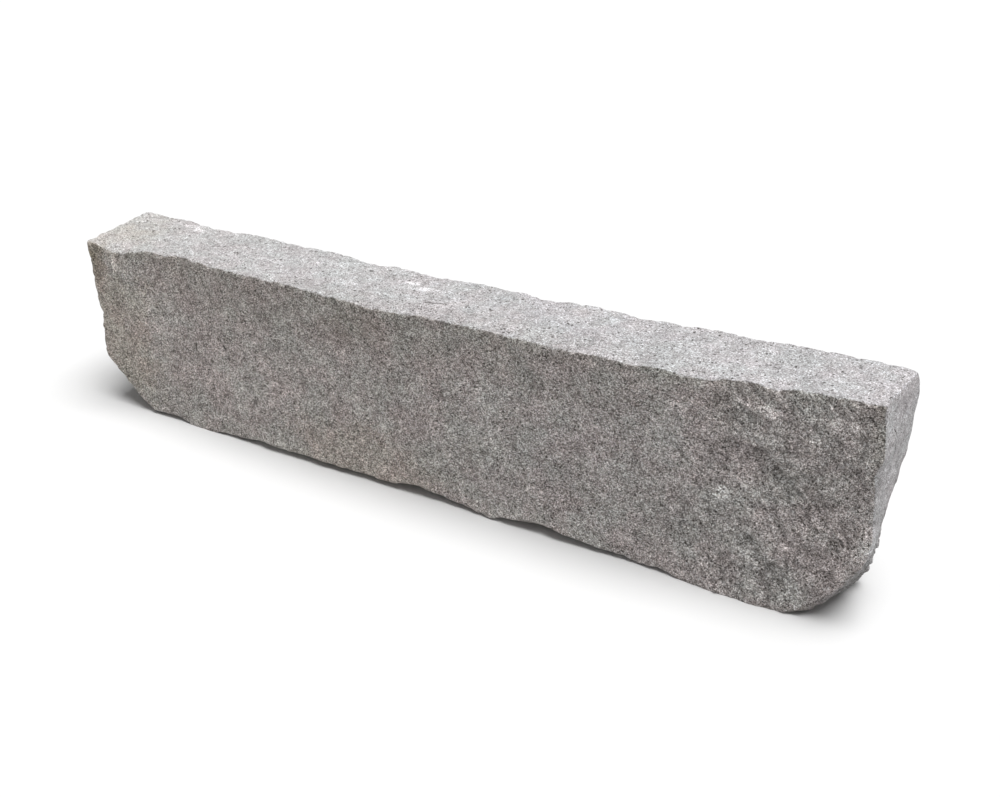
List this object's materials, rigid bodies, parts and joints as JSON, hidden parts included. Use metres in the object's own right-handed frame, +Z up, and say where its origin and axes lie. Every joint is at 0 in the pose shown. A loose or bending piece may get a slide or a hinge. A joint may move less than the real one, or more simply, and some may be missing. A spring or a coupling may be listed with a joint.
{
  "type": "granite kerb stone",
  "caption": "Rough split granite kerb stone: a long, narrow block with a flat bed, a fairly even top, crisp chipped edges and broken lower corners.",
  "frame": {"origin": "middle of the bed, on the level surface that the stone stands on", "axes": "+X along the kerb, from the end with the small flat broken corner to the end with the large round one; +Y from the front face to the back face; +Z up, from the bed to the top"},
  "size_m": [1.1375, 0.1552, 0.272],
  "materials": {
    "granite": "rough split"
  },
  "bodies": {
    "root": {"kerb_stone": "granite"}
  },
  "joints": []
}
